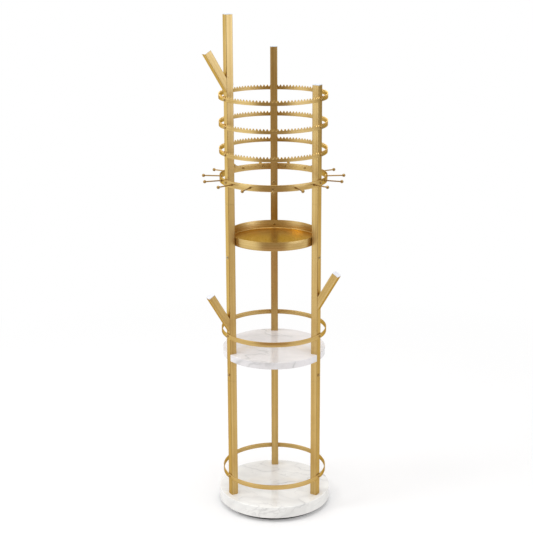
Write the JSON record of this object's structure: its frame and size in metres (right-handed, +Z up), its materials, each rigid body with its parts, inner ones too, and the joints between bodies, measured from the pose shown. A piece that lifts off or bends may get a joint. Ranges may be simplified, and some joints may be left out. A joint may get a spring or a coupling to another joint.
{
  "type": "jewelry stand",
  "caption": "Tall round floor stand for jewellery on a swivelling stone-look base, with three square posts, toothed rings, peg ring, tray, shelf and hooks.",
  "frame": {"origin": "on the floor, on the swivel's axis, at the middle of the non-slip pad's underside", "axes": "+Z up along the swivel's axis; -Y is the front; the tallest post stands front left, at -X, and the headband hook is on the front right post, at +X"},
  "size_m": [0.4384, 0.4361, 1.564],
  "materials": {
    "brushed_gold": "brushed gold finish on steel, satin",
    "gold_screws": "gold plated, satin",
    "marble_look": "white with soft grey veins, polished",
    "pale_plugs": "pale moulded plastic",
    "foot_black": "black moulded plastic, fine grain",
    "foot_rubber": "black foam rubber",
    "bearing_steel": "pressed and plated steel",
    "ball_steel": "polished steel",
    "plated_screws": "zinc plated",
    "nylon": "natural nylon"
  },
  "bodies": {
    "turntable_foot": {"non_slip_pad": "foot_rubber", "foot_plate": "foot_black", "lower_race": "bearing_steel", "lower_race_screws": "plated_screws", "bearing_balls": "ball_steel", "pivot_pin": "bearing_steel"},
    "stand": {"pivot_bush": "nylon", "upper_race": "bearing_steel", "upper_race_screws": "plated_screws", "base_disc": "marble_look", "base_bolts": "plated_screws", "post_foot_nuts": "plated_screws", "lower_joiners": "brushed_gold", "lower_joiner_screws": "gold_screws", "upper_joiners": "brushed_gold", "upper_joiner_screws": "gold_screws", "post_end_caps": "pale_plugs", "middle_shelf": "marble_look", "shelf_brackets": "brushed_gold", "shelf_screws": "gold_screws", "bracket_screws": "gold_screws", "bracket_nuts": "plated_screws", "tray": "brushed_gold", "tray_screws": "gold_screws", "tray_nuts": "plated_screws", "base_rail": "brushed_gold", "middle_rail": "brushed_gold", "necklace_ring": "brushed_gold", "necklace_pegs": "brushed_gold", "peg_nuts": "gold_screws", "hook_plates": "plated_screws", "hook_bolts": "gold_screws", "hook_end_caps": "pale_plugs", "spare_hook_inserts": "gold_screws", "base_rail_screws": "gold_screws", "base_rail_nuts": "plated_screws", "middle_rail_screws": "gold_screws", "middle_rail_nuts": "plated_screws", "necklace_ring_screws": "gold_screws", "necklace_ring_nuts": "plated_screws", "earring_ring_screws": "gold_screws", "earring_ring_nuts": "plated_screws", "earring_ring_lower": "brushed_gold", "earring_ring_middle": "brushed_gold", "earring_ring_top": "brushed_gold", "scarf_hook": "brushed_gold", "bag_hook": "brushed_gold", "headband_hook": "brushed_gold", "post_left_lower": "brushed_gold", "post_left_middle": "brushed_gold", "post_left_upper": "brushed_gold", "post_right_lower": "brushed_gold", "post_right_middle": "brushed_gold", "post_right_upper": "brushed_gold", "post_back_lower": "brushed_gold", "post_back_middle": "brushed_gold", "post_back_upper": "brushed_gold"}
  },
  "joints": [
    {"name": "base_swivel", "type": "hinge", "parent": "turntable_foot", "child": "stand", "pos_m": [0, 0, 0.014], "axis": [0, 0, 1], "continuous": true}
  ]
}
